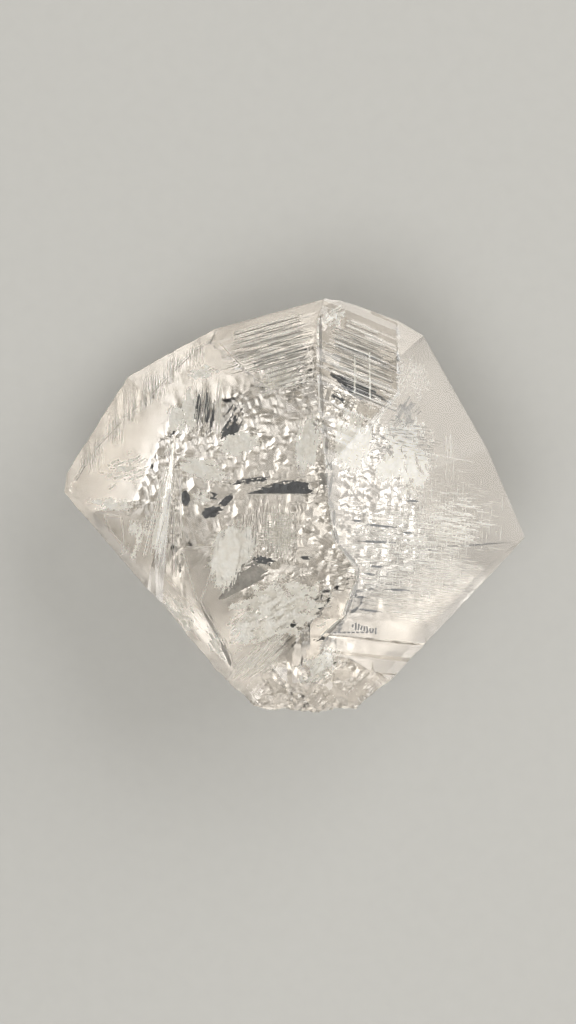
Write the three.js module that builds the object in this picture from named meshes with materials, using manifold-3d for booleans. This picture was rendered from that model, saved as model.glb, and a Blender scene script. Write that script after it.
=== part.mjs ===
// A clear calcite crystal: two rhombohedral halves grown together as a contact twin, one solid.
// It lies on its flat back face. Millimetres, +Z up; the origin is on the surface that it rests
// on, under the middle of the crystal. +X runs from the left half to the right half, and +Y from
// the broken base to the pointed end.

import * as THREE from 'three';
import { mergeVertices } from 'three/addons/utils/BufferGeometryUtils.js';
import Module from 'manifold-3d';

const wasm = await Module();
wasm.setup();

// Driving dimensions
const HALF_WIDTH = 17; // the crystal is 34 wide, from tip to tip, and 30.5 long
const BEYOND = 20; // half width and half length of a plan that reaches past the crystal
const RIM_HEIGHT = 8; // height of the apex above the rest face
const BLANK_HEIGHT = 18; // taller than the finished crystal
const REACH = 80; // size of a cutting block, larger than the crystal
const SEAM_OVERLAP = 0.05; // how far the right half runs into the left one
const MERGE_DISTANCE = 1e-5; // corners closer than this are one

// Corners of the crystal's outline, seen from above, clockwise from the left tip
const LEFT_TIP = [-17, 0.8];
const LEFT_SHOULDER = [-16.7, 2.6];
const UPPER_LEFT = [-12.45, 9.45];
const TOP_LEFT = [-6.1, 12.95];
const APEX = [2.4, 15.25];
const APEX_RIGHT = [3.5, 15.1];
const TOP_RIGHT = [9.6, 12.5];
const RIGHT_SHOULDER = [14.3, 4.1];
const RIGHT_TIP = [17, -2.3];
const RIGHT_UNDER_TIP = [16.15, -3.45];
const BASE_RIGHT = [5, -14.9];
const BASE_LEFT = [-3.9, -14];

// The twin seam, seen from above, from past the apex to past the base. It runs straight down the
// crown, bends where the main faces begin and breaks into a jagged step near the base.
const SEAM = [
  [2.4, BEYOND], [2.3, 15.2], [1.7, 13.4], [1.7, 7.2], [2.2, 5.2], [2.3, 2.9], [2.6, -0.4],
  [3.1, -2.8], [4.6, -5.1], [3.7, -8.2], [1.9, -10.3], [1.9, -BEYOND],
];

// Natural faces. Lean is the compass direction that a face looks towards, in degrees round from
// +X, and tilt is how far it is turned from facing straight up.
const CROWN_LEFT = { lean: 105.7, tilt: 20, through: [...APEX, RIM_HEIGHT] };
const CROWN_RIGHT = { lean: 66.6, tilt: 20, through: [...APEX_RIGHT, RIM_HEIGHT] };
const MAIN_LEFT = { lean: 137.9, tilt: 16.4, through: [2.2, 5.2, RIM_HEIGHT + 3.5] };
const MAIN_RIGHT = { lean: 33.2, tilt: 19.5, through: [8.65, 7.24, RIM_HEIGHT + 1.58] };
const RIM_LEFT = { lean: 135.8, tilt: 38, through: [-6.05, 12.3, RIM_HEIGHT + 0.2] };
const RIM_RIGHT = { lean: 36.2, tilt: 29.5, through: [8.65, 7.24, RIM_HEIGHT + 1.58] };

// Upright truncations at the two tips
const LEFT_END = { lean: 177, tilt: 96, through: [...LEFT_TIP, RIM_HEIGHT] };
const RIGHT_END = { lean: 340, tilt: 94, through: [...RIGHT_TIP, RIM_HEIGHT] };

// Under faces, each cut through an edge of the outline and leaning in below it by this many
// degrees from upright
const UNDERCUT = {
  left: 42, upperLeft: 38, topLeft: 38, apex: 30, topRight: 42, right: 46, wall: 7, underWall: 38,
};
const WALL_HEIGHT = 4.5; // of the two near-upright walls that run down to the base

// Growth steps on the crown: terraces that are flatter than the face, each ending in a riser
const STEP_WIDTH = 0.82;
const STEP_WIDTH_SWING = 0.3; // how far a step's width strays from that, as a part of it
const STEP_WIDTH_TURN = 2.3; // radians of that swing from one step to the next
const TERRACE_TILT = 13;
const RISER_RUN = 0.13; // width of a riser, seen from above
const STEPPED_LENGTH = 12.5; // how far the steps run in from the rim
const STEP_MARGIN = 0.03; // the steps stop this far under the faces beside them

// The wedge-shaped trough that growth left on the left main face
const WEDGE_APEX = [-8.8, 5.2];
const WEDGE_LEAN = 266; // direction that it runs in and widens
const WEDGE_FALL = 3.6; // degrees that its floor falls below the main face
const WEDGE_SIDES = { left: 2.6, right: 1.5 }; // width of each side for 1 of depth

// The broken base: a sloping break over the front and two upright breaks across the end
const BREAK_SLOPE = { lean: 262, tilt: 33, through: [0, -11.6, 14.2] };
const BREAK_END = { lean: 271, tilt: 97, through: [0, -14.95, 11] };
const BREAK_CORNER = { lean: 236, tilt: 95, through: [-3.3, -14.3, 11] };
const BREAK_CELL = 1.1; // size of the facets of the broken surface
// The waves that the facets follow: how high each is, how fast it runs along the surface's two
// directions, in radians a millimetre, and where it starts
const BREAK_WAVES = [
  { height: 0.25, across: 0.9, along: 0.4, start: 0.6 },
  { height: 0.17, across: 2.7, along: -1.9, start: 0 },
  { height: 0.17, across: 1.4, along: 3.9, start: 2 },
];

const radians = THREE.MathUtils.degToRad;

/** The unit vector that a face looks along. */
function normalOf({ lean, tilt }) {
  const level = Math.sin(radians(tilt));
  return new THREE.Vector3(
    level * Math.cos(radians(lean)), level * Math.sin(radians(lean)), Math.cos(radians(tilt)));
}

/** A corner of the outline, raised to a face's plane. */
function cornerOn(face, [x, y]) {
  const normal = normalOf(face);
  const [faceX, faceY, faceZ] = face.through;
  const rise = (normal.x * (x - faceX) + normal.y * (y - faceY)) / normal.z;
  return new THREE.Vector3(x, y, faceZ - rise);
}

/** A closed geometry as a manifold solid. */
function solidOf(geometry) {
  const bare = geometry.clone();
  bare.deleteAttribute('normal');
  bare.deleteAttribute('uv');
  const merged = mergeVertices(bare, MERGE_DISTANCE);
  return new wasm.Manifold(new wasm.Mesh({
    numProp: 3,
    vertProperties: new Float32Array(merged.attributes.position.array),
    triVerts: new Uint32Array(merged.index.array),
  }));
}

/** A manifold solid as a geometry with flat faces. */
function geometryOf(solid) {
  const mesh = solid.getMesh();
  const places = new THREE.BufferAttribute(new Float32Array(mesh.vertProperties), 3);
  const geometry = new THREE.BufferGeometry();
  geometry.setAttribute('position', places);
  geometry.setIndex(new THREE.BufferAttribute(new Uint32Array(mesh.triVerts), 1));
  geometry.computeVertexNormals();
  return geometry;
}

/** A large block whose lower side lies on a plane, for cutting away what stands above it. */
function blockOn(geometry, point, normal) {
  const turn = new THREE.Quaternion().setFromUnitVectors(new THREE.Vector3(0, 0, 1), normal);
  geometry.applyQuaternion(turn).translate(point.x, point.y, point.z);
  return solidOf(geometry);
}

/** The solid with everything outside a plane cut away. */
function cutByPlane(solid, point, normal) {
  const block = new THREE.BoxGeometry(REACH, REACH, REACH).translate(0, 0, REACH / 2);
  return solid.subtract(blockOn(block, point, normal));
}

/** The solid cut to a natural face. */
function cutToFace(solid, face) {
  return cutByPlane(solid, new THREE.Vector3(...face.through), normalOf(face));
}

/** The solid cut below an edge that runs clockwise from one corner to the next. */
function cutUnderEdge(solid, from, to, undercut) {
  const along = to.clone().sub(from).normalize();
  const outward = new THREE.Vector3(-along.y, along.x, 0).normalize();
  const down = outward.clone().cross(along).normalize();
  const side = down.z < 0 ? down : down.negate();
  const normal = outward.multiplyScalar(Math.cos(radians(undercut)))
    .addScaledVector(side, Math.sin(radians(undercut))).normalize();
  return cutByPlane(solid, from, normal);
}

/** The solid cut to a near-upright wall below an edge, with a face that leans in under it. */
function cutWall(solid, from, to) {
  const drop = new THREE.Vector3(0, 0, -WALL_HEIGHT);
  const walled = cutUnderEdge(solid, from, to, UNDERCUT.wall);
  return cutUnderEdge(walled, from.clone().add(drop), to.clone().add(drop), UNDERCUT.underWall);
}

/** A prism with the given plan, from below the crystal to above it. */
function blankOf(plan) {
  const shape = new THREE.Shape(plan.map(([x, y]) => new THREE.Vector2(x, y)));
  return solidOf(new THREE.ExtrudeGeometry(shape, { depth: BLANK_HEIGHT, bevelEnabled: false }));
}

/** What growth steps take off a crown face: a comb with one tooth for each terrace. */
function growthSteps(face, neighbours) {
  const faceRise = Math.tan(radians(face.tilt));
  const terraceRise = Math.tan(radians(TERRACE_TILT));
  const profile = [new THREE.Vector2(0, 0)];
  let start = 0;
  for (let step = 1; start < STEPPED_LENGTH; step += 1) {
    const width = STEP_WIDTH * (1 + STEP_WIDTH_SWING * Math.sin(step * STEP_WIDTH_TURN));
    const riserFoot = start + width - RISER_RUN;
    const footRise = start * faceRise + (riserFoot - start) * terraceRise;
    profile.push(new THREE.Vector2(riserFoot, footRise));
    start += width;
    profile.push(new THREE.Vector2(start, start * faceRise));
  }
  profile.push(new THREE.Vector2(start, BLANK_HEIGHT), new THREE.Vector2(0, BLANK_HEIGHT));
  const outline = new THREE.Shape(profile);
  const comb = new THREE.ExtrudeGeometry(outline, { depth: REACH, bevelEnabled: false });
  const lean = radians(face.lean);
  const inward = new THREE.Vector3(-Math.cos(lean), -Math.sin(lean), 0);
  const up = new THREE.Vector3(0, 0, 1);
  const along = inward.clone().cross(up);
  comb.translate(0, 0, -REACH / 2);
  comb.applyMatrix4(new THREE.Matrix4().makeBasis(inward, up, along));
  comb.translate(...face.through);
  return neighbours.reduce((steps, neighbour) => {
    const [x, y, z] = neighbour.through;
    return cutToFace(steps, { ...neighbour, through: [x, y, z - STEP_MARGIN] });
  }, solidOf(comb));
}

/** The trough of the wedge: a V that starts at its apex and deepens along its length. */
function wedgeTrough() {
  const depth = HALF_WIDTH;
  const profile = new THREE.Shape([
    new THREE.Vector2(0, 0),
    new THREE.Vector2(WEDGE_SIDES.right * depth, depth),
    new THREE.Vector2(-WEDGE_SIDES.left * depth, depth),
  ]);
  const apex = cornerOn(MAIN_LEFT, WEDGE_APEX);
  const lean = radians(WEDGE_LEAN);
  const level = cornerOn(MAIN_LEFT, [WEDGE_APEX[0] + Math.cos(lean), WEDGE_APEX[1] + Math.sin(lean)]);
  const across = new THREE.Vector3(-Math.sin(lean), Math.cos(lean), 0);
  const along = level.sub(apex).normalize().applyAxisAngle(across, radians(WEDGE_FALL));
  const up = along.clone().cross(across).normalize();
  const trough = new THREE.ExtrudeGeometry(profile, { depth: REACH / 2, bevelEnabled: false });
  trough.applyMatrix4(new THREE.Matrix4().makeBasis(across, up, along));
  trough.translate(apex.x, apex.y, apex.z);
  return solidOf(trough);
}

/** How far the broken surface stands out at a place on it. */
function hackle(x, y) {
  return BREAK_WAVES.reduce((sum, { height, across, along, start }) => (
    sum + height * Math.sin(across * x + along * y + start)), 0);
}

/** A block with a hackly lower side, for breaking the crystal off along a plane. */
function breakBlock(face) {
  const cells = Math.round(HALF_WIDTH / BREAK_CELL);
  const size = cells * BREAK_CELL;
  const block = new THREE.BoxGeometry(size, size, HALF_WIDTH, cells, cells, 1);
  block.translate(0, 0, HALF_WIDTH / 2);
  const places = block.attributes.position;
  for (let index = 0; index < places.count; index += 1) {
    if (places.getZ(index) === 0) {
      places.setZ(index, hackle(places.getX(index), places.getY(index)));
    }
  }
  return blockOn(block, new THREE.Vector3(...face.through), normalOf(face));
}

/** The half of the twin to the left of the seam. */
function leftHalf() {
  let half = blankOf([...SEAM, [-BEYOND, -BEYOND], [-BEYOND, BEYOND]].reverse());
  for (const face of [CROWN_LEFT, MAIN_LEFT, RIM_LEFT, LEFT_END]) {
    half = cutToFace(half, face);
  }
  half = cutWall(half, cornerOn(MAIN_LEFT, BASE_LEFT), cornerOn(MAIN_LEFT, LEFT_TIP));
  const rim = [
    [cornerOn(RIM_LEFT, LEFT_SHOULDER), cornerOn(RIM_LEFT, UPPER_LEFT), UNDERCUT.left],
    [cornerOn(RIM_LEFT, UPPER_LEFT), cornerOn(RIM_LEFT, TOP_LEFT), UNDERCUT.upperLeft],
    [cornerOn(CROWN_LEFT, TOP_LEFT), cornerOn(CROWN_LEFT, APEX), UNDERCUT.topLeft],
  ];
  for (const [from, to, undercut] of rim) {
    half = cutUnderEdge(half, from, to, undercut);
  }
  return half.subtract(growthSteps(CROWN_LEFT, [MAIN_LEFT, RIM_LEFT])).subtract(wedgeTrough());
}

/** The half of the twin to the right of the seam. */
function rightHalf() {
  const seam = SEAM.map(([x, y]) => [x - SEAM_OVERLAP, y]);
  let half = blankOf([...seam, [BEYOND, -BEYOND], [BEYOND, BEYOND]]);
  for (const face of [CROWN_RIGHT, MAIN_RIGHT, RIM_RIGHT, RIGHT_END]) {
    half = cutToFace(half, face);
  }
  const rim = [
    [cornerOn(CROWN_RIGHT, APEX), cornerOn(CROWN_RIGHT, APEX_RIGHT), UNDERCUT.apex],
    [cornerOn(CROWN_RIGHT, APEX_RIGHT), cornerOn(RIM_RIGHT, TOP_RIGHT), UNDERCUT.topRight],
    [cornerOn(RIM_RIGHT, TOP_RIGHT), cornerOn(RIM_RIGHT, RIGHT_SHOULDER), UNDERCUT.right],
    [cornerOn(RIM_RIGHT, RIGHT_SHOULDER), cornerOn(RIM_RIGHT, RIGHT_TIP), UNDERCUT.right],
  ];
  for (const [from, to, undercut] of rim) {
    half = cutUnderEdge(half, from, to, undercut);
  }
  half = cutWall(half, cornerOn(MAIN_RIGHT, RIGHT_UNDER_TIP), cornerOn(MAIN_RIGHT, BASE_RIGHT));
  return half.subtract(growthSteps(CROWN_RIGHT, [MAIN_RIGHT, RIM_RIGHT]));
}

/** The whole crystal, with its broken base. */
function calciteCrystal() {
  let crystal = leftHalf().add(rightHalf());
  for (const face of [BREAK_SLOPE, BREAK_CORNER, BREAK_END]) {
    crystal = crystal.subtract(breakBlock(face));
  }
  const clearCalcite = new THREE.MeshStandardMaterial({
    color: '#e9e6dc', roughness: 0.08, metalness: 0, transparent: true, opacity: 0.5,
  });
  const mesh = new THREE.Mesh(geometryOf(crystal), clearCalcite);
  mesh.name = 'calcite_crystal';
  return mesh;
}

const model = new THREE.Group();
model.add(calciteCrystal());

export default model;
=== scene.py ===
"""Looks of a clear calcite contact twin, laid on its flat back face. Metres, +Z up."""

import math
import random

import bmesh
import bpy
from mathutils import Matrix, Quaternion, Vector


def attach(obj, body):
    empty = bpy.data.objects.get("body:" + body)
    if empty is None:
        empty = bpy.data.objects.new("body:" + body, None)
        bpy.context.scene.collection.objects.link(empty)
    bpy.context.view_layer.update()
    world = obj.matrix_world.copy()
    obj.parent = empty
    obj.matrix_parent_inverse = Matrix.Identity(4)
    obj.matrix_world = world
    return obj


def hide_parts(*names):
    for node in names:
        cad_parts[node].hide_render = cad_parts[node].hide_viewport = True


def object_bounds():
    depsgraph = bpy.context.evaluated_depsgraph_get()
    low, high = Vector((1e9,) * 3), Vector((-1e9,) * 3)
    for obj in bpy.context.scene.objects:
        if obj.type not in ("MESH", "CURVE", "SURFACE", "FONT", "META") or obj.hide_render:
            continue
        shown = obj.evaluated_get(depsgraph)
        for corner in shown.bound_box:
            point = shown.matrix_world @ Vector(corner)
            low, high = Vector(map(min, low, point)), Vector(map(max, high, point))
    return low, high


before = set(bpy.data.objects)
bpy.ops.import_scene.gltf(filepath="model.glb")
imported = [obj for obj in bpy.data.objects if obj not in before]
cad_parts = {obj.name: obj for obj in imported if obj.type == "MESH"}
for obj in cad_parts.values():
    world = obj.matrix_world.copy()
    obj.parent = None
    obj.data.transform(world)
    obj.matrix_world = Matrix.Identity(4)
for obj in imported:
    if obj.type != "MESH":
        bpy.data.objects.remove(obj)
cad_box = [list(corner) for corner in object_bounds()]
bpy.ops.object.select_all(action="DESELECT")
# Colours are shown as they are, with no film look
bpy.context.scene.view_settings.view_transform = "Standard"

MM = 0.001


# Studio. The crystal lies on a wide, pale matt table. Light comes from a pale dome that darkens
# towards the horizon, and from two soft boxes.

def linear(hex_colour):
    """An sRGB hex colour as the linear colour that a shader takes."""
    parts = [int(hex_colour[i:i + 2], 16) / 255 for i in (1, 3, 5)]
    return [p / 12.92 if p <= 0.04045 else ((p + 0.055) / 1.055) ** 2.4 for p in parts] + [1.0]


def add_node(tree, kind, settings=None, inputs=None):
    """Adds a node, with its settings, and its inputs as plain values or links."""
    made = tree.nodes.new(kind)
    for name, value in (settings or {}).items():
        setattr(made, name, value)
    for name, value in (inputs or {}).items():
        if isinstance(value, bpy.types.NodeSocket):
            tree.links.new(value, made.inputs[name])
        else:
            made.inputs[name].default_value = value
    return made


def new_material(name):
    """An empty material and its output node."""
    material = bpy.data.materials.new(name)
    material.use_nodes = True
    material.node_tree.nodes.clear()
    return material, material.node_tree, add_node(material.node_tree, "ShaderNodeOutputMaterial")


# The camera looks straight down on the crystal
MIDDLE_HEIGHT = cad_box[1][2] * 0.6
CAMERA_HEIGHT = 300 * MM
FRAME_HEIGHT = 75.7 * MM
CAMERA_AIM = Vector((-0.45 * MM, -0.6 * MM, MIDDLE_HEIGHT))
SENSOR = 36.0

camera_data = bpy.data.cameras.new("camera")
camera_data.lens = SENSOR * CAMERA_HEIGHT / FRAME_HEIGHT
camera_data.clip_start = 0.01
camera_data.clip_end = 50
camera = bpy.data.objects.new("camera", camera_data)
camera.location = CAMERA_AIM + Vector((0, 0, CAMERA_HEIGHT))
bpy.context.scene.collection.objects.link(camera)
bpy.context.scene.camera = camera

TABLE_SIZE = 8
TABLE_GAP = 0.02 * MM
bpy.ops.mesh.primitive_plane_add(size=TABLE_SIZE, location=(0, 0, -TABLE_GAP))
table = bpy.context.object
table.name = "table"
# Board with a rolled coat of matt paint: no gloss, and the faintest mottle, about a millimetre wide
table_material, tree, out = new_material("pale_matt_board")
place = add_node(tree, "ShaderNodeTexCoord")
mottle = add_node(tree, "ShaderNodeTexNoise", inputs={
    "Vector": place.outputs["Object"], "Scale": 0.9 / MM})
tint = add_node(tree, "ShaderNodeMix", {"data_type": "RGBA"}, {
    "Factor": mottle.outputs["Fac"], "A": linear("#a3a29e"), "B": linear("#a7a6a2")})
board = add_node(tree, "ShaderNodeBsdfPrincipled", inputs={
    "Base Color": tint.outputs["Result"], "Roughness": 0.9})
tree.links.new(board.outputs["BSDF"], out.inputs["Surface"])
table.data.materials.append(table_material)

world = bpy.data.worlds.new("pale_dome")
bpy.context.scene.world = world
world.use_nodes = True
world.node_tree.nodes.clear()
tree = world.node_tree
direction = add_node(tree, "ShaderNodeTexCoord")
height = add_node(tree, "ShaderNodeSeparateXYZ", inputs={"Vector": direction.outputs["Generated"]})
ramp = add_node(tree, "ShaderNodeValToRGB", inputs={"Fac": height.outputs["Z"]})
ramp.color_ramp.elements[0].position = 0.0
ramp.color_ramp.elements[0].color = linear("#a7a49f")
ramp.color_ramp.elements[1].position = 0.75
ramp.color_ramp.elements[1].color = linear("#dbd9d5")
dome = add_node(tree, "ShaderNodeBackground", inputs={"Color": ramp.outputs["Color"], "Strength": 1.1})
add_node(tree, "ShaderNodeOutputWorld", inputs={"Surface": dome.outputs["Background"]})


def soft_box(name, bearing, elevation, distance, size, brightness):
    """A square soft box of even brightness, aimed at the crystal from a bearing counted from +X."""
    light = bpy.data.lights.new(name, "AREA")
    light.shape = "SQUARE"
    light.size = size
    light.energy = brightness * math.pi * size * size
    box = bpy.data.objects.new(name, light)
    level = math.cos(math.radians(elevation))
    box.location = distance * Vector((
        level * math.cos(math.radians(bearing)), level * math.sin(math.radians(bearing)),
        math.sin(math.radians(elevation))))
    box.rotation_euler = (-box.location).to_track_quat("-Z", "Y").to_euler()
    bpy.context.scene.collection.objects.link(box)


soft_box("key_box", bearing=36, elevation=31, distance=0.6, size=0.6, brightness=2.9)
soft_box("top_box", bearing=250, elevation=62, distance=0.7, size=0.5, brightness=3.4)


# The crystal. One clear piece of calcite, two halves grown together along a seam. Its faces grew in
# fine steps, its base is broken and its back came away from the matrix in three-cornered cleavage
# pits.
crystal = bpy.data.objects.new("crystal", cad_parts["calcite_crystal"].data.copy())
bpy.context.scene.collection.objects.link(crystal)
crystal.data.materials.clear()
bpy.context.view_layer.objects.active = crystal
crystal.select_set(True)
bpy.ops.object.mode_set(mode="EDIT")
bpy.ops.mesh.select_all(action="SELECT")
bpy.ops.mesh.remove_doubles(threshold=0.001 * MM)
bpy.ops.mesh.dissolve_limited(angle_limit=math.radians(0.5))

chance = random.Random(7)


def compass(angle, tilt=90):
    """The direction towards a compass angle from +X, tilted this far from straight up."""
    level = math.sin(math.radians(tilt))
    angle = math.radians(angle)
    return Vector((level * math.cos(angle), level * math.sin(angle), math.cos(math.radians(tilt))))


def leans(normal, angle, tilts, spread=8):
    """True if a face leans towards a compass angle, with its tilt in a range."""
    tilt = math.degrees(math.acos(max(-1, min(1, normal.z))))
    lean = math.degrees(math.atan2(normal.y, normal.x))
    return tilts[0] < tilt < tilts[1] and abs((lean - angle + 180) % 360 - 180) < spread


def show_only(test):
    """Hides the crystal's faces that fail a test of their normal and their middle."""
    bpy.ops.mesh.reveal(select=False)
    bpy.ops.mesh.select_all(action="DESELECT")
    mesh = bmesh.from_edit_mesh(crystal.data)
    for face in mesh.faces:
        face.select_set(bool(test(face.normal, face.calc_center_median())))
    bmesh.update_edit_mesh(crystal.data)
    bpy.ops.mesh.hide(unselected=True)
    bpy.ops.mesh.select_all(action="SELECT")
    return [vert.co.copy() for vert in mesh.verts if not vert.hide]


def is_broken(normal, middle):
    """True for a face of the break at the base, and not of the sound walls beside it."""
    walls = [(223, (90, 105)), (313, (90, 105)), (234, (120, 130)), (301, (120, 130))]
    at_base = middle.y < -8.6 * MM and abs(normal.z) < 0.97 and normal.y < -0.25
    return at_base and not any(leans(normal, lean, tilts, 3) for lean, tilts in walls)


def is_slope(normal, middle):
    """True for a slope below the crystal's edge."""
    return -0.9 < normal.z < -0.4 and not is_broken(normal, middle)


# The slopes below the edge are uneven, apart from a narrow clean border
SLOPE_BORDER = 0.25 * MM
show_only(is_slope)
bpy.ops.mesh.inset(thickness=SLOPE_BORDER, use_individual=True)
bpy.ops.mesh.quads_convert_to_tris()
bpy.ops.mesh.subdivide(number_cuts=8, fractal=0.06, fractal_along_normal=1, seed=5)
bpy.ops.mesh.subdivide(number_cuts=1, fractal=0.5, fractal_along_normal=1, seed=6)
bpy.ops.mesh.reveal(select=False)
bpy.ops.object.mode_set(mode="OBJECT")
crystal.select_set(False)


def cut_out(cutter, name):
    """Cuts a shape out of the crystal, and throws the shape away."""
    cutter.select_set(False)
    bpy.context.view_layer.objects.active = crystal
    cut = crystal.modifiers.new(name, "BOOLEAN")
    cut.object = cutter
    cut.operation = "DIFFERENCE"
    cut.solver = "MANIFOLD"
    bpy.ops.object.modifier_apply(modifier=cut.name)
    bpy.data.objects.remove(cutter)


# Pits of the back: each is the corner of a cleavage block, cut out of the flat back between the
# patches that the crystal rests on. The two halves cleave in different directions, and the pits grow
# towards the base.
PIT_SLOPE = math.radians(44.6)
PIT_SPACING = 0.68 * MM
PIT_RADIUS = (0.52 * MM, 1.0 * MM)
PIT_GROWTH = 0.12
PIT_MARGIN = 0.2 * MM
PIT_TURNS = (18, 52)
PITTED_REACH = 12 * MM
SEAM_X = 1.9 * MM
REST_PATCHES = [((-5.0, 5.6), 0.5), ((5.4, 3.4), 0.5), ((0.9, -2.2), 0.5)]
REST_OVERLAP = 0.4 * MM
# A first small cone, clear of the crystal, starts the mesh that the others are added to
bpy.ops.mesh.primitive_cone_add(vertices=3, radius1=PIT_MARGIN, depth=PIT_MARGIN, location=(0, 0, -9 * MM))
pits = bpy.context.object
bpy.ops.object.mode_set(mode="EDIT")
rows = math.ceil(PITTED_REACH / PIT_SPACING)
for row in range(-rows, rows + 1):
    for column in range(-rows, rows + 1):
        x = PIT_SPACING * (column + chance.uniform(-0.4, 0.4))
        y = PIT_SPACING * (row + chance.uniform(-0.4, 0.4))
        radius = chance.triangular(PIT_RADIUS[0], PIT_RADIUS[1], PIT_RADIUS[0])
        radius *= 1 + PIT_GROWTH * max(0, -y / MM - 0.5)
        clear = min(math.dist((x, y), (px * MM, py * MM)) - r * MM for (px, py), r in REST_PATCHES)
        if clear < 0:
            continue
        reach = min(radius, clear + REST_OVERLAP) + PIT_MARGIN
        rise = reach * math.tan(PIT_SLOPE)
        turn = math.radians(PIT_TURNS[x >= SEAM_X] + chance.uniform(-5, 5))
        lift = -PIT_MARGIN * math.tan(PIT_SLOPE) + rise / 2
        bpy.ops.mesh.primitive_cone_add(
            vertices=3, radius1=2 * reach, depth=rise, location=(x, y, lift), rotation=(0, 0, turn))
bpy.ops.mesh.select_all(action="SELECT")
bpy.ops.mesh.subdivide(number_cuts=3, fractal=0.25, fractal_along_normal=1, seed=5)
bpy.ops.object.mode_set(mode="OBJECT")
cut_out(pits, "pits")

# Chips: shallow shell-shaped scars along the edges. Each is the print of a ball: its place from
# above, the ball's radius and how deep it is pressed in, in millimetres.
ABOVE = 50 * MM
DOWN = Vector((0, 0, -1))
CHIPS = [((3.0, 13.9), 3.2, 0.16), ((4.3, -13.2), 3.0, 0.35), ((2.4, -13.9), 2.4, 0.3),
         ((-2.9, -13.2), 2.2, 0.25), ((-16.2, 1.2), 1.6, 0.1), ((5.6, -12.9), 2.0, 0.2)]
for (x, y), radius, depth in CHIPS:
    _, point, normal, _ = crystal.ray_cast(Vector((x * MM, y * MM, ABOVE)), DOWN)
    centre = point + normal * (radius - depth) * MM
    bpy.ops.mesh.primitive_uv_sphere_add(segments=48, ring_count=24, radius=radius * MM, location=centre)
    cut_out(bpy.context.object, "chip")
crystal.select_set(True)
bpy.ops.object.mode_set(mode="EDIT")


def cut_across(run, at):
    """Cuts the shown faces along a line and leaves the new corners selected."""
    bpy.ops.mesh.select_all(action="SELECT")
    bpy.ops.mesh.bisect(plane_co=run * at, plane_no=run)


def growth_lines(shown, run, normal, spacing, height):
    """Cuts lines at right angles to run across the shown faces and moves each along the normal."""
    reach = [point.dot(run) for point in shown]
    at = min(reach) + spacing * chance.uniform(0.3, 0.9)
    while at < max(reach):
        cut_across(run, at)
        bpy.ops.transform.translate(value=normal * height * chance.uniform(-1, 1))
        at += spacing * chance.uniform(0.45, 1.55)


def groove(run, at, normal, width, depth):
    """Cuts a V-shaped groove, or a ridge if its depth is below 0, across the shown faces."""
    cut_across(run, at - width / 2)
    cut_across(run, at + width / 2)
    cut_across(run, at)
    bpy.ops.transform.translate(value=-normal * depth)


def striae(shown, run, normal, spacing, width, depth):
    """Cuts grooves and ridges at right angles to run, at uneven spacing, across the shown faces."""
    reach = [point.dot(run) for point in shown]
    at = min(reach) + spacing * chance.uniform(0.3, 0.9)
    while at < max(reach):
        groove(run, at, normal, width * chance.uniform(0.7, 1.4), depth * chance.choice((-0.6, 0.5, 1)))
        at += spacing * chance.uniform(0.5, 1.5)


def show_facing(lean, tilts):
    """Shows only the faces that lean towards a compass angle, with their tilt in a range."""
    return show_only(lambda normal, middle: leans(normal, lean, tilts))


# The seam stands up as a thin ridge
RIDGE_SIDE = 0.11 * MM
RIDGE_LIFT = 0.09 * MM
mesh = bmesh.from_edit_mesh(crystal.data)
bpy.ops.mesh.select_mode(type="EDGE")
bpy.ops.mesh.select_all(action="DESELECT")
for edge in mesh.edges:
    if len(edge.link_faces) == 2:
        normals = [face.normal for face in edge.link_faces]
        left = any(n.z > 0.3 and n.x < 0 for n in normals)
        right = any(n.z > 0.3 and n.x > 0 for n in normals)
        wall = any(abs(n.z) < 0.1 for n in normals)
        middle = (edge.verts[0].co + edge.verts[1].co) / 2
        inside = 1.3 * MM < middle.x < 5 * MM and middle.y > -10 * MM and middle.z > 7 * MM
        edge.select_set(bool(inside and ((left and right) or (wall and (left or right)))))
bmesh.update_edit_mesh(crystal.data)
bpy.ops.mesh.bevel(offset=RIDGE_SIDE, segments=2, affect="EDGES", clamp_overlap=True)
bpy.ops.transform.translate(value=(0, 0, RIDGE_LIFT))
bpy.ops.mesh.select_mode(type="FACE")

# Growth of each natural face: broad low steps, then fine striae. Each goes by the compass angle from
# one line to the next, and by its spacing, width and height in millimetres.
FRONT_FACES = [
    # lean, tilts, steps (run, spacing, height), striae (run, spacing, width, depth)
    (138, (12, 20), [(86, 1.6, 0.006), (3, 1.9, 0.005)], [(88, 1.3, 0.05, 0.02), (3, 1.7, 0.05, 0.02)]),
    (33, (16, 23), [(84, 1.1, 0.004)], [(84, 0.8, 0.05, 0.02), (4, 1.9, 0.05, 0.02)]),
    (136, (34, 42), [(2, 0.6, 0.02)], [(1, 0.3, 0.08, 0.05), (118, 1.7, 0.08, 0.04)]),
    (36, (26, 33), [(90, 1.2, 0.006), (2, 1.6, 0.006)], []),
    (106, (9, 70), [], [(106, 0.26, 0.08, 0.05)]),
    (67, (9, 70), [(165, 1.0, 0.012)], [(67, 0.28, 0.08, 0.05)]),
    (13, (18, 26), [], [(2, 0.35, 0.07, 0.03)]),
    (166, (30, 38), [], [(4, 0.3, 0.07, 0.03)]),
]
for lean, tilts, steps, lines in FRONT_FACES:
    facing = compass(lean, sum(tilts) / 2)
    for run, spacing, height in steps:
        shown = show_facing(lean, tilts)
        growth_lines(shown, compass(run), facing, spacing * MM, height * MM)
    for run, spacing, width, depth in lines:
        shown = show_facing(lean, tilts)
        striae(shown, compass(run), facing, spacing * MM, width * MM, depth * MM)

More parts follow.
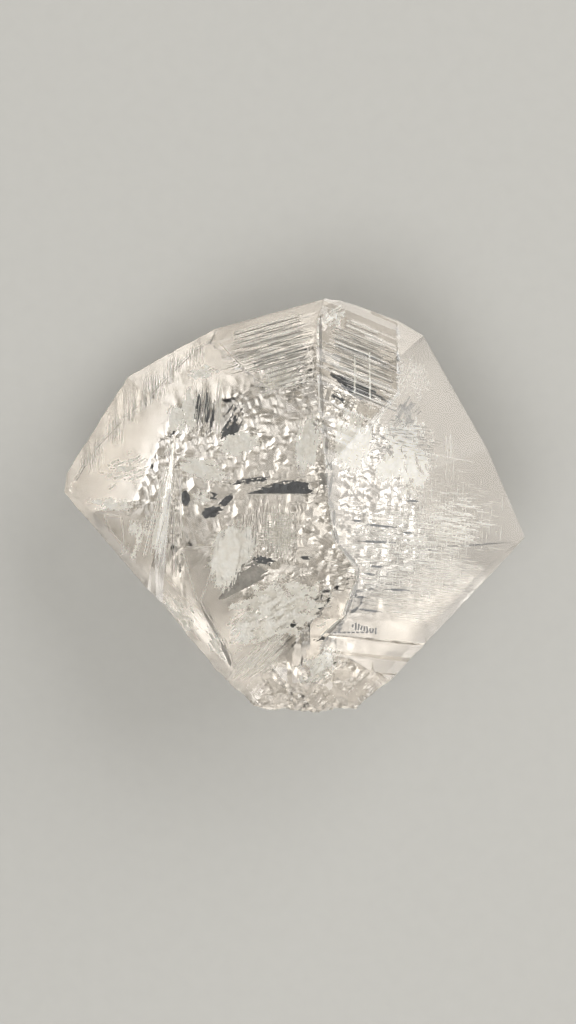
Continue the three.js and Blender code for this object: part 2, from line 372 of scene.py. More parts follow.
# Low level steps round the two walls of the base, with upright striae
WALL_TILTS = (92, 100)
for lean in (223, 313):
    facing = compass(lean)
    shown = show_facing(lean, WALL_TILTS)
    growth_lines(shown, Vector((0, 0, 1)), facing, 0.9 * MM, 0.03 * MM)
    shown = show_facing(lean, WALL_TILTS)
    striae(shown, compass(lean + 90), facing, 0.8 * MM, 0.08 * MM, 0.03 * MM)

# The break at the base is fibrous: finer facets, with streaks that run up it from lower left
break_facing = compass(262, 40)
shown = show_only(is_broken)
bpy.ops.mesh.subdivide(number_cuts=2, fractal=0.35, fractal_along_normal=1, seed=3)
growth_lines(shown, compass(135), break_facing, 0.24 * MM, 0.1 * MM)
growth_lines(shown, compass(30), break_facing, 0.9 * MM, 0.12 * MM)
bpy.ops.mesh.reveal(select=False)
bpy.ops.object.mode_set(mode="OBJECT")
bpy.ops.object.shade_flat()
# No point reaches below the surface that the crystal lies on
for vert in crystal.data.vertices:
    vert.co.z = max(vert.co.z, 0)

# How matt each part of the surface is: glassy in front, silky on the left rim, etched below
MATT = {"front": 0.03, "silky": 0.12, "below": 0.22, "broken": 0.1}
matt = crystal.data.attributes.new("matt", "FLOAT", "FACE")
for polygon in crystal.data.polygons:
    normal, middle = polygon.normal, polygon.center
    if middle.y < -9 * MM and normal.y < -0.3 and normal.z > -0.6:
        kind = "broken"
    elif normal.z < 0.25:
        kind = "below"
    elif leans(normal, 136, (32, 45), 14):
        kind = "silky"
    else:
        kind = "front"
    matt.data[polygon.index].value = MATT[kind]

# Clear calcite with its natural growth faces: glassy, with sharp glints on the bright faces and a soft
# glow on the etched ones. A faint warm tint builds up only through the full depth of the stone. The
# IOR lies between the two that calcite has, 1.49 and 1.66.
clear_material, tree, out = new_material("clear_calcite")
etched = add_node(tree, "ShaderNodeAttribute", {"attribute_name": "matt"})
glass = add_node(tree, "ShaderNodeBsdfPrincipled", inputs={
    "Base Color": linear("#ffffff"), "Roughness": etched.outputs["Fac"], "IOR": 1.6,
    "Transmission Weight": 1.0})
tree.links.new(glass.outputs["BSDF"], out.inputs["Surface"])
body = add_node(tree, "ShaderNodeVolumeAbsorption", inputs={"Color": linear("#efe3cf"), "Density": 27})
tree.links.new(body.outputs["Volume"], out.inputs["Volume"])
crystal.data.materials.clear()
crystal.data.materials.append(clear_material)
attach(crystal, "root")
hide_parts("calcite_crystal")


# Shadowed cracks. Where the calcite has split inside along its cleavage, thin films of air turn the
# light away and look nearly black. That black is painted shade here: opaque near-black sheets, sealed
# in the stone, each at its own depth below the front faces, and some break up into threads.

def below_front(x, y, depth):
    """The place this far below the crystal's front, in millimetres from above."""
    hit, point, _, _ = crystal.ray_cast(Vector((x * MM, y * MM, ABOVE)), DOWN)
    return point - Vector((0, 0, depth * MM)) if hit else Vector((x * MM, y * MM, 0.005))


def along_front(x, y, turn, reach):
    """The direction towards turn that follows the front on both sides of a place."""
    level = compass(turn)
    start = Vector((x * MM, y * MM, ABOVE))
    for part in (1, 0.6, 0.3, 0.1):
        step = level * part * reach * MM
        ends = [crystal.ray_cast(start + step * side, DOWN) for side in (-1, 1)]
        if ends[0][0] and ends[1][0]:
            return (ends[1][1] - ends[0][1]).normalized()
    return level


def sheet_tree(name, more):
    """A geometry node tree for a sheet, with its inputs and how sound the sheet is at each place."""
    tree = bpy.data.node_groups.new(name, "GeometryNodeTree")
    tree.interface.new_socket("Geometry", in_out="OUTPUT", socket_type="NodeSocketGeometry")
    kinds = {"Geometry": "NodeSocketGeometry", "Half size": "NodeSocketVector", "Taper": "NodeSocketFloat",
             "Ragged": "NodeSocketFloat", "Fullness": "NodeSocketFloat", "Fall": "NodeSocketFloat",
             "Grain": "NodeSocketVector", "Seed": "NodeSocketInt", "Crystal": "NodeSocketObject",
             "Up": "NodeSocketVector", **more}
    for label, kind in kinds.items():
        tree.interface.new_socket(label, in_out="INPUT", socket_type=kind)
    given = add_node(tree, "NodeGroupInput").outputs
    place = add_node(tree, "GeometryNodeInputPosition").outputs["Position"]
    part = add_node(tree, "ShaderNodeVectorMath", {"operation": "DIVIDE"}, {0: place, 1: given["Half size"]})
    split = add_node(tree, "ShaderNodeSeparateXYZ", inputs={"Vector": part.outputs["Vector"]}).outputs
    narrowing = add_node(tree, "ShaderNodeMath", {"operation": "MULTIPLY_ADD"}, {
        0: split["X"], 1: given["Taper"], 2: 1.0})
    across = add_node(tree, "ShaderNodeMath", {"operation": "DIVIDE"}, {
        0: split["Y"], 1: narrowing.outputs["Value"]})
    flat = add_node(tree, "ShaderNodeCombineXYZ", inputs={"X": split["X"], "Y": across.outputs["Value"]})
    square = add_node(tree, "ShaderNodeVectorMath", {"operation": "DOT_PRODUCT"}, {
        0: flat.outputs["Vector"], 1: flat.outputs["Vector"]})
    fall = add_node(tree, "ShaderNodeMath", {"operation": "MULTIPLY"}, {
        0: square.outputs["Value"], 1: given["Fall"]})
    stretched = add_node(tree, "ShaderNodeVectorMath", {"operation": "MULTIPLY"}, {
        0: place, 1: given["Grain"]})
    shifted = add_node(tree, "ShaderNodeVectorMath", {"operation": "ADD"}, {
        0: stretched.outputs["Vector"], 1: given["Seed"]})
    noise = add_node(tree, "ShaderNodeTexNoise", inputs={
        "Vector": shifted.outputs["Vector"], "Scale": 1.0, "Detail": 4.0, "Roughness": 0.65})
    centred = add_node(tree, "ShaderNodeMath", {"operation": "SUBTRACT"}, {0: noise.outputs["Fac"], 1: 0.5})
    rough = add_node(tree, "ShaderNodeMath", {"operation": "MULTIPLY_ADD"}, {
        0: centred.outputs["Value"], 1: given["Ragged"], 2: given["Fullness"]})
    sound = add_node(tree, "ShaderNodeMath", {"operation": "SUBTRACT"}, {
        0: rough.outputs["Value"], 1: fall.outputs["Value"]})
    return tree, given, place, sound.outputs["Value"]


def trim(tree, given, geometry, domain, ways):
    """Keeps what is inside the crystal, with this much room left in each direction."""
    host = add_node(tree, "GeometryNodeObjectInfo", {"transform_space": "RELATIVE"}, {
        "Object": given["Crystal"]})
    for way, room in ways:
        ray = add_node(tree, "GeometryNodeRaycast", inputs={
            "Target Geometry": host.outputs["Geometry"], "Ray Direction": way, "Ray Length": 0.1})
        facing = add_node(tree, "ShaderNodeVectorMath", {"operation": "DOT_PRODUCT"}, {
            0: ray.outputs["Hit Normal"], 1: way})
        leaves = add_node(tree, "FunctionNodeCompare", {"data_type": "FLOAT", "operation": "LESS_EQUAL"}, {
            0: facing.outputs["Value"], 1: 0.0})
        near = add_node(tree, "FunctionNodeCompare", {"data_type": "FLOAT", "operation": "LESS_THAN"}, {
            0: ray.outputs["Hit Distance"], 1: room})
        outside = add_node(tree, "FunctionNodeBooleanMath", {"operation": "OR"}, {
            0: leaves.outputs["Result"], 1: near.outputs["Result"]})
        trimmed = add_node(tree, "GeometryNodeDeleteGeometry", {"domain": domain}, {
            "Geometry": geometry, "Selection": outside.outputs["Boolean"]})
        geometry = trimmed.outputs["Geometry"]
    return geometry


# A crack is a sheet that is kept where it is sound, and that is a little uneven
CRACK_ROOM = 0.03 * MM
crack_tree, given, place, sound = sheet_tree("crack", {"Unevenness": "NodeSocketFloat"})
gone = add_node(crack_tree, "FunctionNodeCompare", {"data_type": "FLOAT", "operation": "LESS_THAN"}, {
    0: sound, 1: 0.0})
kept = add_node(crack_tree, "GeometryNodeDeleteGeometry", {"domain": "FACE"}, {
    "Geometry": given["Geometry"], "Selection": gone.outputs["Result"]})
lumps = add_node(crack_tree, "ShaderNodeTexNoise", inputs={
    "Vector": place, "Scale": 1.6 / MM, "Detail": 3.0})
lift = add_node(crack_tree, "ShaderNodeMath", {"operation": "MULTIPLY"}, {
    0: lumps.outputs["Fac"], 1: given["Unevenness"]})
offset = add_node(crack_tree, "ShaderNodeCombineXYZ", inputs={"Z": lift.outputs["Value"]})
moved = add_node(crack_tree, "GeometryNodeSetPosition", inputs={
    "Geometry": kept.outputs["Geometry"], "Offset": offset.outputs["Vector"]})
inside = trim(crack_tree, given, moved.outputs["Geometry"], "FACE", [(given["Up"], CRACK_ROOM)])
add_node(crack_tree, "NodeGroupOutput", inputs={"Geometry": inside})

# A veil is made of flat flakes that lie on a sheet, closer together where it is sound
VEIL_ROOM = 0.1 * MM
veil_tree, given, place, sound = sheet_tree("veil", {
    "Flakes": "NodeSocketFloat", "Flake": "NodeSocketVector", "Wobble": "NodeSocketVector",
    "Scatter": "NodeSocketVector", "Room": "NodeSocketFloat"})
share = add_node(veil_tree, "ShaderNodeMapRange", inputs={"Value": sound, "From Min": 0.0, "From Max": 0.6})
density = add_node(veil_tree, "ShaderNodeMath", {"operation": "MULTIPLY"}, {
    0: share.outputs["Result"], 1: given["Flakes"]})
points = add_node(veil_tree, "GeometryNodeDistributePointsOnFaces", inputs={
    "Mesh": given["Geometry"], "Density": density.outputs["Value"], "Seed": given["Seed"]})
away = add_node(veil_tree, "FunctionNodeRandomValue", {"data_type": "FLOAT_VECTOR"}, {
    "Min": (-1, -1, -1), "Max": (1, 1, 1), "Seed": given["Seed"]})
drift = add_node(veil_tree, "ShaderNodeVectorMath", {"operation": "MULTIPLY"}, {
    0: away.outputs["Value"], 1: given["Scatter"]})
spread = add_node(veil_tree, "GeometryNodeSetPosition", inputs={
    "Geometry": points.outputs["Points"], "Offset": drift.outputs["Vector"]})
inside = trim(veil_tree, given, spread.outputs["Geometry"], "POINT", [
    (given["Up"], VEIL_ROOM), ((1, 0, 0), given["Room"]), ((-1, 0, 0), given["Room"])])
flake = add_node(veil_tree, "GeometryNodeMeshUVSphere", inputs={"Segments": 4, "Rings": 2, "Radius": 0.5})
tilting = add_node(veil_tree, "FunctionNodeRandomValue", {"data_type": "FLOAT_VECTOR"}, {
    "Min": (-1, -1, -1), "Max": (1, 1, 1), "Seed": 7})
wobble = add_node(veil_tree, "ShaderNodeVectorMath", {"operation": "MULTIPLY"}, {
    0: tilting.outputs["Value"], 1: given["Wobble"]})
growth = add_node(veil_tree, "FunctionNodeRandomValue", {"data_type": "FLOAT"}, {2: 0.4, 3: 1.6})
size = add_node(veil_tree, "ShaderNodeVectorMath", {"operation": "MULTIPLY"}, {
    0: given["Flake"], 1: growth.outputs[1]})
many = add_node(veil_tree, "GeometryNodeInstanceOnPoints", inputs={
    "Points": inside, "Instance": flake.outputs["Mesh"],
    "Rotation": wobble.outputs["Vector"], "Scale": size.outputs["Vector"]})
real = add_node(veil_tree, "GeometryNodeRealizeInstances", inputs={"Geometry": many.outputs["Instances"]})
add_node(veil_tree, "NodeGroupOutput", inputs={"Geometry": real.outputs["Geometry"]})


def add_sheet(tree, place, length, width, turn, tilt, cell, values, one_side=False):
    """A sheet at a place (x, y, depth below the front), in millimetres, with its length towards turn.

    It follows the front above it, and is then tilted about its length.
    """
    columns, rows = max(2, round(length / cell)), max(2, round(width / cell))
    bpy.ops.mesh.primitive_grid_add(x_subdivisions=columns, y_subdivisions=rows, size=2)
    sheet = bpy.context.object
    half = (length / 2 * MM, width / 2 * MM, 1)
    bpy.ops.object.mode_set(mode="EDIT")
    bpy.ops.transform.resize(value=half)
    if one_side:
        bpy.ops.mesh.bisect(plane_co=(0, 0, 0), plane_no=(0, 1, 0), clear_inner=True)
    bpy.ops.object.mode_set(mode="OBJECT")
    along = along_front(place[0], place[1], turn, length / 2)
    normal = along.cross(along_front(place[0], place[1], turn + 90, width / 2)).normalized()
    normal.rotate(Quaternion(along, math.radians(tilt)))
    across = normal.cross(along)
    sheet.matrix_world = Matrix.LocRotScale(
        below_front(*place), Matrix((along, across, normal)).transposed(), None)
    breaking = sheet.modifiers.new("break", "NODES")
    breaking.node_group = tree
    given = {"Half size": half, "Seed": chance.randrange(1000), "Crystal": crystal,
             "Up": (along.z, across.z, normal.z), **values}
    for item in tree.interface.items_tree:
        if item.in_out == "INPUT" and item.name in given:
            breaking[item.identifier] = given[item.name]
    bpy.ops.object.modifier_apply(modifier=breaking.name)
    bpy.ops.object.transform_apply(location=True, rotation=True, scale=True)
    return sheet


def add_crack(place, length, width, turn, tilt=8, taper=0.0, ragged=3.0, grain=(1.2, 4), thick=0.03,
              full=1.0, one_side=False, cell=0.06, uneven=0.25):
    """A thin closed film with a ragged outline, and with holes if it is less than full."""
    film = add_sheet(crack_tree, place, length, width, turn, tilt, cell, {
        "Taper": taper, "Ragged": ragged, "Fullness": full, "Fall": full + 0.2 * ragged,
        "Grain": (grain[0] / MM, grain[1] / MM, 1), "Unevenness": uneven * MM}, one_side)
    shell = film.modifiers.new("thickness", "SOLIDIFY")
    shell.thickness = thick * MM
    bpy.ops.object.modifier_apply(modifier=shell.name)
    return film


def add_lace(place, length, width, turn, grain, full, ragged=6.0):
    """A thin film that has healed to a lace of holes."""
    return add_crack(place, length, width, turn, ragged=ragged, grain=grain, thick=0.02, full=full,
                     cell=0.07)


def add_line(start, end, depth, width, ragged=0.8):
    """A narrow film that shows as a fine line between two places."""
    (x, y), (far_x, far_y) = start, end
    turn = math.degrees(math.atan2(far_y - y, far_x - x))
    return add_crack(((x + far_x) / 2, (y + far_y) / 2, depth), math.dist(start, end), width, turn, 10,
                     ragged=ragged, grain=(0.8, 3), thick=0.02, uneven=0.05)


def add_path(points, depth, width, shift=(0, 0)):
    """Fine lines from place to place."""
    moved = [(x + shift[0], y + shift[1]) for x, y in points]
    return [add_line(start, end, depth, width, 0.5) for start, end in zip(moved, moved[1:])]


def add_veil(place, length, width, turn, tilt=8, *, flakes, flake, wobble, ragged=2.5, grain=(0.6, 1.2),
             taper=0.0):
    """A cloud of flat flakes: how many lie on a square millimetre, and the size of one."""
    return add_sheet(veil_tree, place, length, width, turn, tilt, 0.5, {
        "Taper": taper, "Ragged": ragged, "Fullness": 1.0, "Fall": 1.2,
        "Grain": (grain[0] / MM, grain[1] / MM, 1),
        "Flakes": flakes / MM / MM, "Flake": [part * MM for part in flake], "Wobble": wobble,
        "Scatter": (0.05 * MM, 0.05 * MM, 0.2 * MM), "Room": flake[0] * 0.8 * MM})


def join_as(name, pieces, material):
    """Joins the pieces to one piece of one material, which rides with the crystal."""
    bpy.ops.object.select_all(action="DESELECT")
    for piece in pieces:
        piece.select_set(True)
    bpy.context.view_layer.objects.active = pieces[0]
    bpy.ops.object.join()
    joined = bpy.context.object
    joined.name = name
    joined.data.materials.clear()
    joined.data.materials.append(material)
    bpy.ops.object.mode_set(mode="EDIT")
    bpy.ops.mesh.select_all(action="SELECT")
    bpy.ops.mesh.normals_make_consistent(inside=False)
    bpy.ops.object.mode_set(mode="OBJECT")
    joined.select_set(False)
    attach(joined, "root")


def film_material(name, colour, other, roughness):
    """A sealed film: two close colours and a roughness that drift from place to place."""
    material, tree, out = new_material(name)
    place = add_node(tree, "ShaderNodeTexCoord")
    cloud = add_node(tree, "ShaderNodeTexNoise", inputs={
        "Vector": place.outputs["Object"], "Scale": 1.4 / MM, "Detail": 4.0, "Roughness": 0.6})
    spread = add_node(tree, "ShaderNodeMapRange", inputs={
        "Value": cloud.outputs["Fac"], "From Min": 0.35, "From Max": 0.65})
    tint = add_node(tree, "ShaderNodeMix", {"data_type": "RGBA"}, {
        "Factor": spread.outputs["Result"], "A": linear(colour), "B": linear(other)})
    sheen = add_node(tree, "ShaderNodeMapRange", inputs={
        "Value": cloud.outputs["Fac"], "To Min": roughness * 0.6, "To Max": roughness * 1.4})
    shader = add_node(tree, "ShaderNodeBsdfPrincipled", inputs={
        "Base Color": tint.outputs["Result"], "Roughness": sheen.outputs["Result"]})
    tree.links.new(shader.outputs["BSDF"], out.inputs["Surface"])
    return material


# Flakes by length, width and thickness, in millimetres
THREAD = (1.3, 0.05, 0.02)
SHORT_THREAD = (0.6, 0.045, 0.02)
HAIR = (0.9, 0.035, 0.02)
# How far flakes turn from the direction of their sheet, in radians: STRAIGHT ones waver more
STRAIGHT = (0.2, 0.2, 0.06)
LEVEL = (0.1, 0.1, 0.04)

# Where the growth lines of the crown meet the seam
CROWN_LINES = [9.0 + 0.2 * line + chance.uniform(-0.06, 0.06) for line in range(28)]

dark = [
    # the long black crack left of the seam: straight below, ragged above
    add_crack((-0.9, 0.74, 0.7), 5.6, 1.9, 0, taper=0.9, ragged=2.5, grain=(1.2, 5), one_side=True),
    add_veil((-0.6, 1.35, 0.7), 4.4, 0.9, 8, flakes=26, flake=HAIR, wobble=STRAIGHT, taper=0.7),
    add_lace((-3.2, 1.65, 0.9), 4.0, 0.9, 8, (1.5, 6), 0.3),
    # the cluster left of it
    add_crack((-7.95, 0.35, 0.7), 1.25, 0.8, 92, ragged=2),
    add_crack((-6.05, -0.65, 0.7), 2.0, 1.05, 10, ragged=4, grain=(1.5, 3)),
    add_crack((-4.9, 0.2, 0.7), 1.5, 0.7, 35, ragged=4, grain=(1.5, 4)),
    add_lace((-5.9, 0.6, 0.8), 2.4, 1.2, -10, (1.6, 3), 0.0),
    # fibrous shadows below the left rim
    add_crack((-7.05, 7.0, 1.0), 2.6, 0.6, 84, ragged=4, grain=(0.8, 6)),
    add_crack((-6.35, 7.05, 1.0), 2.8, 0.6, 88, ragged=4, grain=(0.8, 6)),
    add_crack((-5.95, 6.3, 1.0), 2.0, 0.4, 80, ragged=4, grain=(0.8, 6)),
    add_veil((-6.6, 6.9, 0.9), 3.2, 1.8, 86, flakes=40, flake=HAIR, wobble=STRAIGHT, grain=(0.5, 1.6)),
    add_crack((-4.65, 5.3, 1.0), 2.2, 1.4, 55, ragged=5, grain=(1, 5)),
    add_lace((-4.3, 6.4, 1.2), 3.0, 2.0, 60, (1, 4), 0.0),
    # right of the seam, below the crown: straight above, ragged below
    add_crack((4.4, 8.85, 0.6), 4.4, 2.2, 158, taper=-0.5, ragged=3, grain=(1.2, 4), one_side=True),
    add_veil((4.6, 8.3, 0.8), 3.2, 1.0, -22, flakes=30, flake=SHORT_THREAD, wobble=STRAIGHT),
    add_line((5.6, 8.3), (7.3, 7.2), 0.4, 0.26, 2),
    add_lace((3.2, 7.8, 0.8), 2.0, 0.8, -30, (2, 4), 0.2),
    # small patches lower down, on both sides of the seam
    add_lace((-2.1, -4.2, 0.8), 2.6, 0.8, -8, (2, 5), 0.7),
    add_lace((0.95, -4.0, 0.8), 1.1, 0.4, 0, (2, 4), 0.6),
    add_lace((2.0, -9.9, 0.4), 1.4, 0.7, 20, (2, 4), 0.5),
    # two growth lines of the crown in painted shade
    add_line((2.85, 11.9), (6.4, 10.6), 0.2, 0.1),
    add_line((-3.6, 10.1), (1.5, 11.55), 0.2, 0.12),
]
# Dashes right of the seam, by their middle and length, then a comb of short teeth and a row of dots
DASHES = [(8.65, 0.2, 1.1), (4.55, -1.25, 0.9), (6.4, -1.65, 2.8), (8.25, -2.15, 0.9), (5.9, -2.8, 3.5),
          (5.5, -5.15, 1.0), (4.7, -6.8, 1.2), (5.5, -7.8, 2.2), (7.5, -6.3, 2.2), (6.0, -4.6, 1.4)]
dark += [add_crack((x, y, 0.25), length, 0.16, chance.uniform(-8, -2), ragged=2, grain=(0.8, 4))
         for x, y, length in DASHES]
dark += [add_crack((4.2 + 0.21 * tooth, -8.9 - 0.05 * tooth, 0.25), chance.uniform(0.35, 0.75), 0.12,
                   chance.uniform(72, 100), ragged=0.6) for tooth in range(9)]
dark += [add_crack((2.6 + 0.33 * dot, -9.35, 0.25), 0.24, 0.1, 0, ragged=0.6) for dot in range(10)]
# Air film in a cleavage split, flat and clean, in painted shade: almost black, with a faint satin sheen
shadowed_film = film_material("shadowed_cleavage_film", "#27292b", "#454749", 0.35)
join_as("shadowed_cracks", dark, shadowed_film)


# Grey veils. Deeper and thinner films of the same cleavage let part of the light through; their grey is
# painted shade, lighter than the black. With them go the painted shadow lines along the seam, the left rim
# and the growth lines of the crown.

# The seam wavers down the front, and the left rim meets the main face along a bent edge
SEAM = [
    (1.74, 14.3), (1.75, 9.9), (1.9, 6.2), (2.2, 5.0), (2.15, 3.5), (2.6, 2.4), (2.3, 0.3), (2.7, -0.4),
    (2.7, -1.7), (3.0, -2.95), (4.5, -4.6), (4.4, -5.7), (4.0, -6.8), (3.5, -8.25), (1.8, -9.8)]
RIM = [(-16.6, 1.2), (-15.0, 3.9), (-12.7, 6.4), (-10.8, 8.1), (-9.3, 9.6), (-7.6, 11.3), (-6.1, 12.2)]


def crown_line(side, at, width):
    """A growth line of the crown, from this height on the seam down to the crown's far edge."""
    width *= chance.uniform(0.5, 1.3)
    if side < 0:
        far = max(-5.6, (7.4 - at) / 1.19)
        return add_line((far, at - 0.285 * (1.5 - far)), (1.5, at), 0.12, width, 2)
    far = (10.1 - 0.26 * at) / 0.895
    return add_line((2.0, at), (far, at - 0.404 * (far - 2)), 0.12, width, 2)


grey = [
    # a broad wedge low down, left of the seam
    add_crack((-3.6, -6.3, 1.8), 5.2, 3.2, 28, taper=0.9, ragged=3, grain=(0.8, 4), one_side=True),
    # the cloud below the crown, right of the seam
    add_lace((8.1, 6.6, 1.0), 3.2, 2.6, 60, (1, 4), 0.5),
    add_lace((7.4, 4.6, 1.3), 5.0, 3.0, 75, (1, 4), -0.2),
    # streaks along the lower left edge
    add_line((-6.9, -7.4), (-5.3, -10.1), 0.5, 0.2, 3),
    add_line((-5.4, -9.9), (-4.4, -12.2), 0.5, 0.35, 3),
    add_veil((-5.6, -9.8, 0.8), 5.4, 1.2, -63, flakes=20, flake=HAIR, wobble=STRAIGHT),
    # a patch on the seam, and loose hairs on both sides of it
    add_lace((2.2, 1.6, 0.5), 2.0, 0.8, 90, (1.5, 2), 0.8),
    add_veil((-2.2, -2.2, 1.0), 5.0, 3.6, 88, flakes=14, flake=HAIR, wobble=STRAIGHT),
    add_veil((7.0, -5.0, 0.8), 9.0, 6.5, -6, flakes=4, flake=HAIR, wobble=LEVEL),
    add_veil((8.0, 4.4, 1.0), 6.0, 3.4, -8, flakes=26, flake=SHORT_THREAD, wobble=STRAIGHT),
    # threads in the crown
    add_veil((-1.8, 11.6, 0.35), 7.0, 4.4, 16, flakes=14, flake=THREAD, wobble=LEVEL),
    add_veil((4.8, 10.9, 0.35), 5.4, 5.0, -22, flakes=14, flake=THREAD, wobble=LEVEL),
]
# painted shadow beside the seam's ridge, and along the left rim
grey += add_path(SEAM, 0.16, 0.24, (0.2, 0))
grey += add_path(RIM, 0.1, 0.05, (0.1, -0.1))
# lines of the crown in painted shade, and streaks down the wedge
grey += [crown_line(side, at, 0.09) for side in (-1, 1) for at in CROWN_LINES[::2]]
grey += [add_line((-9.15 + 0.08 * k, 0.6 - 0.6 * k), (-10.7 + 0.6 * k, -5.4 - 0.15 * k), 0.3, 0.05)
         for k in range(4)]
# Thin air film in a half-closed split, in painted shade: dull grey with a little brown, and almost no gloss
grey_shade_material = film_material("grey_painted_shade_film", "#8f8b84", "#b3aea6", 0.4)
join_as("grey_veils", grey, grey_shade_material)


# Milky veils. Where splits have healed again, they leave films and clouds of tiny flat hollows, full of
# water, that catch the light. They are lace-like sheets and loose threads; the same white also draws painted
# highlights on the edges of steps, the seam, the rim and the clear panes.
CROWN_EDGE = [(-5.8, 12.2), (-3.1, 9.4), (-1.4, 8.2)]
white = [
    # beside the fibrous shadows, below the left rim
    add_lace((-7.65, 6.9, 0.8), 3.8, 1.4, 95, (1, 6), 1.3),
    add_lace((-8.65, 6.2, 0.8), 3.0, 1.8, 90, (1.4, 4), 1.2),
    add_veil((-5.55, 7.1, 0.6), 4.0, 0.4, 88, flakes=90, flake=THREAD, wobble=STRAIGHT, ragged=1),
    add_veil((-6.8, 7.2, 0.6), 3.4, 2.0, 84, flakes=16, flake=HAIR, wobble=STRAIGHT),
    add_lace((-6.7, 9.7, 0.5), 2.8, 1.4, 10, (2, 4), 0.7),
    # down the wedge at the left
    add_lace((-9.8, -1.6, 0.8), 7.5, 1.6, -97, (0.5, 5), 0.5),
    # above the black crack and its cluster
    add_lace((-4.0, 4.4, 0.8), 4.2, 2.2, 10, (1.2, 4), 1.2),
    add_lace((-6.6, 2.5, 0.9), 5.0, 2.0, -18, (1.2, 4), 1.3),
    add_lace((-6.7, 0.5, 0.6), 1.9, 1.3, -20, (2, 4), 0.5),
    # beside the seam
    add_lace((1.0, 4.2, 0.9), 5.4, 2.4, 82, (0.8, 5), 1.2),
    add_lace((1.0, 4.4, 0.7), 2.4, 0.7, 88, (0.8, 6), 1.5),
    # the bright patch below the black crack
    add_lace((-3.8, -3.2, 0.9), 4.2, 3.0, 62, (1, 5), 1.5, ragged=7),
    add_lace((-4.9, -4.0, 0.6), 6.0, 2.9, 82, (0.8, 5), 1.5, ragged=7),
    add_lace((-4.7, -3.8, 1.6), 5.4, 3.2, 70, (1, 3), 2.0),
    # the left tip
    add_lace((-13.3, -0.1, 0.6), 4.6, 1.4, -3, (1.5, 3), 0.7),
    # the cloud right of the seam
    add_lace((6.7, 2.5, 0.8), 2.6, 2.2, 60, (1.4, 4), 1.2),
    add_lace((4.2, 4.4, 0.9), 7.0, 4.2, 84, (1, 3), 0.8),
    add_lace((8.2, 3.6, 1.2), 8.4, 5.4, 100, (0.8, 2), 0.7),
    # the soft mottled patch above the base
    add_lace((-0.8, -7.8, 1.6), 9.5, 6.0, 12, (0.9, 1.6), 0.8, ragged=7),
    add_lace((-1.8, -8.4, 1.0), 8.0, 5.0, 35, (1, 3.5), 0.5, ragged=7),
    add_lace((-3.4, -9.2, 0.7), 3.8, 2.8, 42, (1, 4), 0.5),
    # the base, and the chip at the apex
    add_lace((2.1, -11.4, 0.35), 4.2, 2.6, 58, (1.2, 6), 0.4),
    add_lace((1.5, -12.0, 0.7), 4.0, 3.0, 48, (1.2, 5), 0.3),
    add_lace((3.0, 13.8, 0.3), 2.8, 1.9, 40, (1.5, 4), 0.5),
    # along the lower left edge, and below the rim
    add_lace((-11.5, -2.4, 1.0), 4.4, 2.4, 75, (1, 3), 0.2),
    add_lace((-8.2, -8.2, 0.9), 5.0, 2.6, -48, (1, 3), 0.2),
    add_veil((-8.0, -7.8, 0.6), 6.0, 2.4, -50, flakes=8, flake=HAIR, wobble=LEVEL),
    add_lace((-5.6, -10.2, 0.9), 3.6, 1.6, -60, (1, 3), 0.4),
    add_lace((-12.5, 2.4, 1.2), 5.0, 3.0, 20, (1, 3), 0.1),
    # loose hairs left of the seam and on the base
    add_veil((-0.9, -2.2, 0.9), 3.8, 2.6, 88, flakes=40, flake=HAIR, wobble=STRAIGHT),
    add_veil((-0.9, -2.2, 0.9), 3.0, 3.0, 0, flakes=36, flake=SHORT_THREAD, wobble=STRAIGHT),
    add_veil((-2.6, -11.4, 0.5), 5.0, 3.0, 45, flakes=40, flake=HAIR, wobble=STRAIGHT),
    # threads in the crown and at its foot
    add_veil((-1.3, 9.1, 0.4), 3.0, 1.6, 16, flakes=60, flake=HAIR, wobble=LEVEL),
    add_veil((-1.3, 9.1, 0.4), 2.0, 2.4, 96, flakes=30, flake=SHORT_THREAD, wobble=LEVEL),
    add_veil((-1.8, 11.4, 0.3), 6.5, 4.0, 16, flakes=9, flake=THREAD, wobble=LEVEL),
    add_veil((4.6, 10.9, 0.3), 4.6, 4.4, -22, flakes=7, flake=THREAD, wobble=LEVEL),
    # threads right of the seam, along the growth lines and across them
    add_veil((8.4, -4.5, 0.6), 12, 9.5, -6, 4, flakes=9, flake=THREAD, wobble=LEVEL),
    add_veil((8.4, -3.0, 0.6), 9.5, 9.5, 88, 4, flakes=6, flake=SHORT_THREAD, wobble=LEVEL),
    add_veil((11.6, -1.0, 0.5), 9.0, 8.0, -8, 4, flakes=5, flake=HAIR, wobble=LEVEL),
    add_veil((11.6, -0.6, 0.5), 8.0, 8.0, 86, 4, flakes=3, flake=HAIR, wobble=LEVEL),
    add_lace((9.5, -3.6, 1.4), 9.0, 6.0, -6, (0.5, 2.5), -0.6, ragged=7),
    add_lace((11.6, -1.4, 0.8), 8.0, 6.0, -8, (0.5, 6), 0.0, ragged=7),
    add_veil((8.7, 9.3, 0.4), 3.4, 2.6, -25, flakes=12, flake=SHORT_THREAD, wobble=LEVEL),
    add_veil((8.7, 9.3, 0.4), 3.0, 3.0, 70, flakes=12, flake=SHORT_THREAD, wobble=LEVEL),
    add_line((8.85, 3.9), (13.9, 2.95), 0.2, 0.05),
    add_line((8.05, 8.6), (5.2, 5.1), 0.3, 0.09),
]
# hairs down the left rim
for x, y in ((-14.9, 3.6), (-13.4, 5.5), (-11.9, 7.2), (-10.4, 8.7), (-8.9, 10.2), (-7.4, 11.5)):
    white.append(add_veil((x, y, 0.25), 2.6, 1.8, 90, 4, flakes=34, flake=HAIR, wobble=LEVEL))
# upright wavy lines right of the seam, by their middle, length and width
UPRIGHTS = [(4.45, 9.4, 4.2, 0.12), (5.55, 9.0, 5.8, 0.12), (6.8, -3.0, 3.0, 0.06), (11.2, 4.5, 2.6, 0.06),
            (11.5, 4.4, 2.4, 0.06)]
white += [add_crack((x, y, 0.2), length, width, 90 + chance.uniform(-2, 2), ragged=0.8)
          for x, y, length, width in UPRIGHTS]
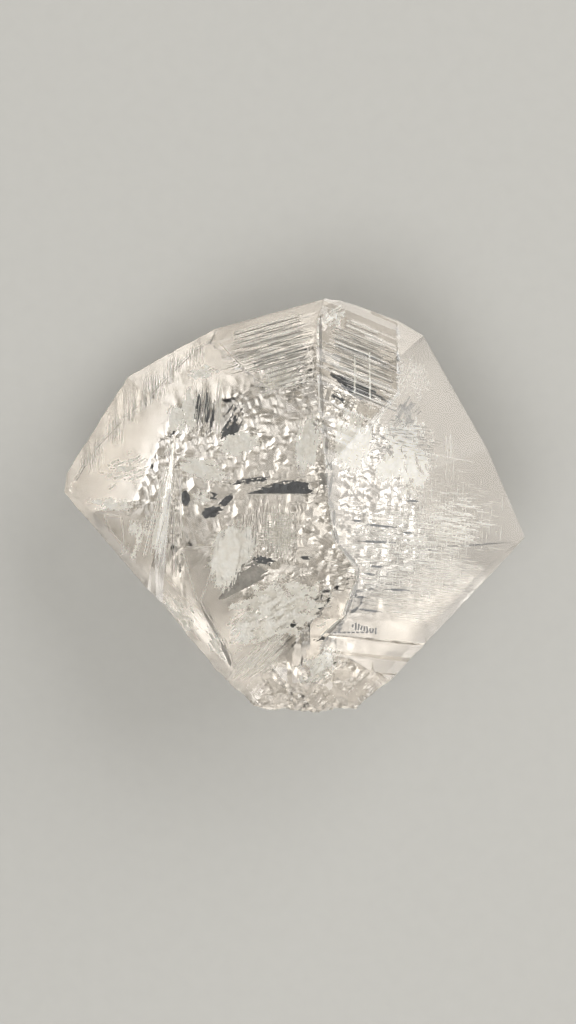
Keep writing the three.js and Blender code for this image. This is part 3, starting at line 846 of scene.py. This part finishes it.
# painted highlights along the seam, the rim and the crown's edge, and streaks down the wedge
white += add_path(SEAM, 0.13, 0.13)
white += add_path(RIM, 0.1, 0.045)
white += add_path(CROWN_EDGE, 0.1, 0.05)
white += [add_line((-9.12 + 0.04 * k, 3.8 - 0.3 * k), (-11.1 + 0.33 * k, -4.6 - 0.2 * k), 0.25,
                   chance.uniform(0.04, 0.09)) for k in range(6)]
# lines of the crown between them, in painted highlight
white += [crown_line(side, at, 0.07) for side in (-1, 1) for at in CROWN_LINES[1::2]]
# painted highlights along the edges of the wedge, and of the clear panes on both sides of it
white += add_path([(-11.3, -4.6), (-9.35, 3.25), (-9.1, 4.9), (-8.95, 0.5), (-8.6, -6.0)], 0.1, 0.06)
white += add_path([(-8.3, 3.0), (-8.25, -3.2), (-6.95, -7.6), (-5.8, -4.2), (-5.7, -3.2), (-8.2, -3.2)],
                  0.4, 0.045)
white += add_path([(-14.0, -0.8), (-12.7, -0.9), (-12.5, -3.2), (-13.8, -1.6), (-14.0, -0.8)], 0.4, 0.045)
# Healed split full of tiny hollows: milky white with a soft pearly sheen. The painted highlights share it
milky_white_and_highlight_material = film_material("milky_white_and_highlight_film", "#fffdf6", "#f6f1e6", 0.3)
join_as("milky_veils", white, milky_white_and_highlight_material)
